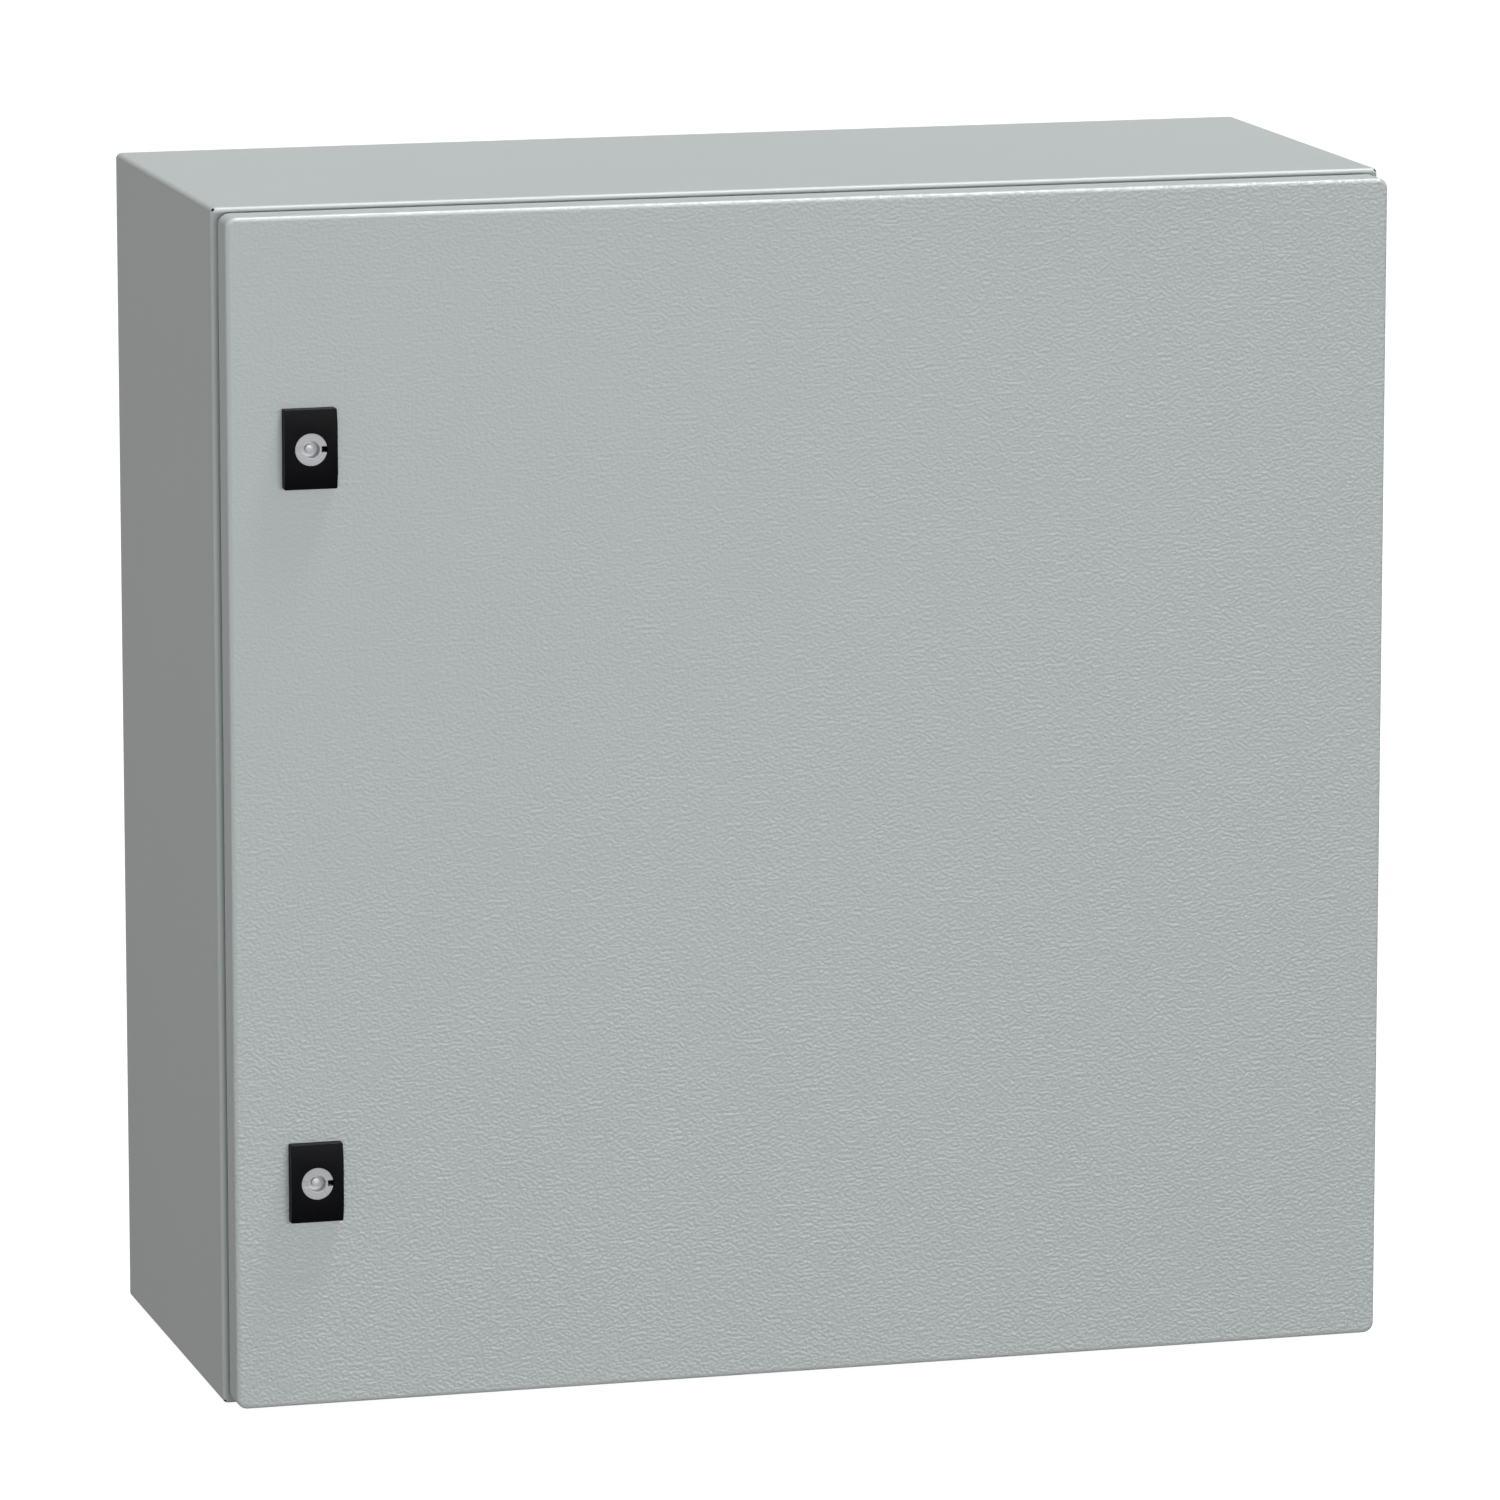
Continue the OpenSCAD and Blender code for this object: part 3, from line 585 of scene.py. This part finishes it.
def thread_lock_barrel(side):
    """Cuts the lock housing's barrel down behind the door and puts a flatted thread round it."""
    node = f"{side}_lock_housing"
    centre = JOINT_AT[f"{side}_lock_turn"]
    inner_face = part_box("door_panel")[0].y + SHEET
    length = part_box(node)[1].y - inner_face
    core = M20[0] - 0.75 * MM
    skin = 0.12 * MM

    housing = softened(node, LOCK_ROUNDING)
    for vertex in housing.data.vertices:
        across, up = vertex.co.x - centre.x, vertex.co.z - centre.z
        if vertex.co.y > inner_face + 0.3 * MM and math.hypot(across, up) > core and abs(across) < core:
            vertex.co.z = centre.z + math.copysign(math.sqrt(core ** 2 - across ** 2), up)

    def hold(angle):
        return (LOCK_FLATS / 2 + 0.02 * MM) / max(abs(math.cos(angle)), 1e-6)

    thread = thread_shape(M20, length, hold)

    def shape(r, angle, height):
        return min(r, hold(angle) - skin) if r < core else thread(r, angle, height)

    outside = [(M20[0], height) for height in thread_heights(M20, 0.0, length)]
    inside = [(core - skin, length), (core - skin, 0.0)]
    mesh = bmesh.new()
    turned(mesh, outside + inside, 72, axis_place((centre.x, inner_face, centre.z), INTO_CABINET), shape,
           closed=True)
    finish_piece(f"{node}_thread", mesh, node)


def gasket_line(half_x, half_z):
    """Places along the line through a gasket's corner centres, each with its outward direction."""
    corners = [Vector((sx * half_x, 0, sz * half_z)) for sx, sz in ((1, 1), (-1, 1), (-1, -1), (1, -1))]
    line = []
    for quarter, corner in enumerate(corners):
        for k in range(9):
            angle = math.radians(90 * quarter + 90 * k / 8)
            line.append((corner, Vector((math.cos(angle), 0, math.sin(angle)))))
        outward, following = line[-1][1], corners[(quarter + 1) % 4]
        line += [(corner.lerp(following, k / 100), outward) for k in range(1, 100)]
    return line


def pressed_gasket(node):
    """The foam bead, poured along a slightly unsteady line, with the groove that the lip has pressed."""
    low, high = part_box(node)
    middle, half = (low + high) / 2, (high - low) / 2
    mesh, rings = bmesh.new(), []
    for place, outward in gasket_line(half.x - GASKET_CORNER, half.z - GASKET_CORNER):
        at = place + outward * (GASKET_CORNER - GASKET_WIDTH / 2)
        swell = noise.noise(at / (22 * MM)) * 0.25 * MM
        reach = GASKET_WIDTH / 2 - 0.25 * MM + swell * 0.5
        crown = 2 * half.y - 0.15 * MM + min(swell, 0.1 * MM)
        ring = []
        for k in range(GASKET_POINTS):
            angle = math.pi * k / (GASKET_POINTS - 1)
            across, rise = reach * math.cos(angle), crown * math.sin(angle) ** 0.55
            groove = 0.9 * MM * math.exp(-(across / (0.9 * MM)) ** 2)
            point = middle + at + outward * across
            ring.append(mesh.verts.new((point.x, low.y + max(rise - groove, 0.0), point.z)))
        rings.append(ring)
    for ring, following in zip(rings, rings[1:] + rings[:1]):
        for k in range(GASKET_POINTS):
            other = (k + 1) % GASKET_POINTS
            mesh.faces.new((ring[k], ring[other], following[other], following[k]))
    finish_piece(f"{node}_pressed", mesh, node, smooth_deg=60)


# The plain studs and nuts of the CAD model, with the way they point and their thread
STUDS = {
    "gland_studs": (UP, M5), "body_earth_stud": (UP, M8), "door_earth_stud": (INTO_CABINET, M6),
    "hinge_door_studs": (INTO_CABINET, M5),
}
NUTS = {
    "plate_washers": (OUT_OF_CABINET, M8), "plate_nuts": (OUT_OF_CABINET, M8), "gland_nuts": (UP, M5),
    "hinge_door_nuts": (INTO_CABINET, M5), "upper_lock_nut": (INTO_CABINET, M20),
    "lower_lock_nut": (INTO_CABINET, M20),
}


def make_hardware():
    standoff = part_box("back_panel")[1].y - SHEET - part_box("mounting_plate")[1].y
    remake_studs("plate_studs", OUT_OF_CABINET, M8, collar=(COLLAR_RADIUS, standoff))
    for node, (axis, thread) in STUDS.items():
        remake_studs(node, axis, thread)
    for node, (axis, thread) in NUTS.items():
        remake_nuts(node, axis, thread)
    remake_earth_nut("body_earth_nut", UP, M8, washer_height=1.6 * MM, width=13 * MM)
    remake_earth_nut("door_earth_nut", INTO_CABINET, M6, washer_height=1.2 * MM, width=10 * MM)
    for node, radius in EDGE_ROUNDING.items():
        softened(node, radius)
    for side in SIDES:
        thread_lock_barrel(side)
        softened(f"{side}_lock_insert", LOCK_ROUNDING, material=INSERT_FINISH[side])
    pressed_gasket("door_gasket")


# ---------- scene ----------

CAMERA_AT = Vector((-1.2453, -4.5271, 1.1752))
CAMERA_DOWN_DEG = 10.574
CAMERA_TURN_DEG = -15.377
LENS_MM = 224.28
SENSOR_MM = 36.0


def make_camera():
    """A long lens at the viewing angle of the reference."""
    data = bpy.data.cameras.new("camera")
    data.lens = LENS_MM
    data.sensor_width = SENSOR_MM
    data.clip_end = 200
    camera = bpy.data.objects.new("camera", data)
    camera.location = CAMERA_AT
    camera.rotation_euler = (math.radians(90 - CAMERA_DOWN_DEG), 0, math.radians(CAMERA_TURN_DEG))
    bpy.context.scene.collection.objects.link(camera)
    bpy.context.scene.camera = camera


def stage_surface(name, mesh, material, unseen_by):
    """Turns bmesh data into a part of the stage that the listed kinds of ray don't see."""
    data = bpy.data.meshes.new(name)
    mesh.to_mesh(data)
    mesh.free()
    data.shade_smooth()
    data.materials.append(material)
    surface = bpy.data.objects.new(name, data)
    for ray in unseen_by:
        setattr(surface, f"visible_{ray}", False)
    bpy.context.scene.collection.objects.link(surface)


def disc(height):
    mesh = bmesh.new()
    bmesh.ops.create_circle(mesh, cap_ends=True, segments=96, radius=STAGE_RADIUS,
                            matrix=Matrix.Translation((0, 0, height)))
    return mesh


def dome():
    mesh = bmesh.new()
    bmesh.ops.create_uvsphere(mesh, u_segments=96, v_segments=48, radius=STAGE_RADIUS)
    return mesh


def glow(name, colour, strength, diffuse=0.0):
    """A stage surface with its own even light, and a little diffuse white to take soft shadows."""
    material, tree, shader = new_material(name, (diffuse,) * 3, 1.0, specular=0.0)
    shader.inputs["Emission Color"].default_value = (*colour, 1)
    shader.inputs["Emission Strength"].default_value = strength
    return material


STAGE_RADIUS = 30.0
WHITE = (1, 1, 1)
FLOOR_GLOW = 0.97
FLOOR_DIFFUSE = 0.1
BOUNCE_TINT = (1.03, 1.0, 0.985)
BOUNCE_GLOW = 0.19


def make_stage():
    """A plain white floor and backdrop, and the light that a grey studio floor throws back."""
    stage_surface("floor", disc(-0.2 * MM), glow("floor_white", WHITE, FLOOR_GLOW, FLOOR_DIFFUSE),
                  unseen_by=("diffuse", "glossy"))
    stage_surface("backdrop", dome(), glow("backdrop_white", WHITE, 1.0),
                  unseen_by=("diffuse", "glossy", "transmission", "shadow"))
    stage_surface("bounce", disc(-0.4 * MM), glow("bounce_grey", BOUNCE_TINT, BOUNCE_GLOW),
                  unseen_by=("camera", "shadow"))


def add_light(name, kind, energy, towards, place=(0, 0, 0)):
    """A light of one of Blender's kinds, whose back looks along the direction towards."""
    data = bpy.data.lights.new(name, kind)
    data.energy = energy
    light = bpy.data.objects.new(name, data)
    light.location = place
    light.rotation_mode = "QUATERNION"
    light.rotation_quaternion = Vector(towards).to_track_quat("Z", "Y")
    bpy.context.scene.collection.objects.link(light)
    return light


def sun(name, towards, strength, angle_deg, gloss_only=False):
    """A far light that lies in the direction towards."""
    light = add_light(name, "SUN", strength, towards)
    light.data.angle = math.radians(angle_deg)
    light.visible_diffuse = not gloss_only


def area(name, place, target, size, power, colour=WHITE):
    """A soft oval light, kept out of the glossy reflections so that they stay even."""
    light = add_light(name, "AREA", power, Vector(place) - Vector(target), place)
    light.data.shape = "ELLIPSE"
    light.data.size, light.data.size_y = size
    light.data.color = colour
    light.visible_glossy = False


# The suns' directions and strengths, and the soft lights' powers in watts and tints
TOP_LIGHT_TOWARDS = (0.29, -0.035, 0.956)
TOP_LIGHT = 3.2
EDGE_LIGHT_TOWARDS = (0.265, -0.184, 0.947)
EDGE_LIGHT = 2.6
SHEEN_LIGHT_TOWARDS = (0.25, -0.87, 0.42)
SHEEN_LIGHT = 1.8
FRONT_KEY = 67.2
KEY_TINT = (0.981, 1.0, 1.010)
LEFT_FILL = 25.8
FILL_TINT = (1.032, 1.0, 0.985)
REAR_FILL = 60
WORLD_GREY = 0.10


def make_lights():
    """An overhead sun and soft lights. The gloss-only suns draw the bright lines on the upper bends
    and the sheen that shows the door's grain."""
    sun("top_light", TOP_LIGHT_TOWARDS, TOP_LIGHT, 16)
    sun("edge_light", EDGE_LIGHT_TOWARDS, EDGE_LIGHT, 36, gloss_only=True)
    sun("sheen_light", SHEEN_LIGHT_TOWARDS, SHEEN_LIGHT, 50, gloss_only=True)
    area("front_key", (-0.12, -3.0, 0.58), (-0.12, -0.12, 0.38), (3.0, 0.5), FRONT_KEY, KEY_TINT)
    area("left_fill", (-2.8, 0.22, 0.9), (-0.3, 0, 0.3), (1.2, 1.2), LEFT_FILL, FILL_TINT)
    area("rear_fill", (1.8, 3.0, 2.2), (0, 0.13, 0.3), (1.5, 1.5), REAR_FILL)
    world = bpy.data.worlds.new("studio")
    world.use_nodes = True
    background = world.node_tree.nodes["Background"]
    background.inputs["Color"].default_value = (*WHITE, 1)
    background.inputs["Strength"].default_value = WORLD_GREY
    bpy.context.scene.world = world
    bpy.context.scene.view_settings.view_transform = "Standard"


make_camera()
make_stage()
make_lights()
for node, obj in NODES.items():
    obj.material_slots[0].material = FINISH[SLOT_OF[node]]
make_hardware()
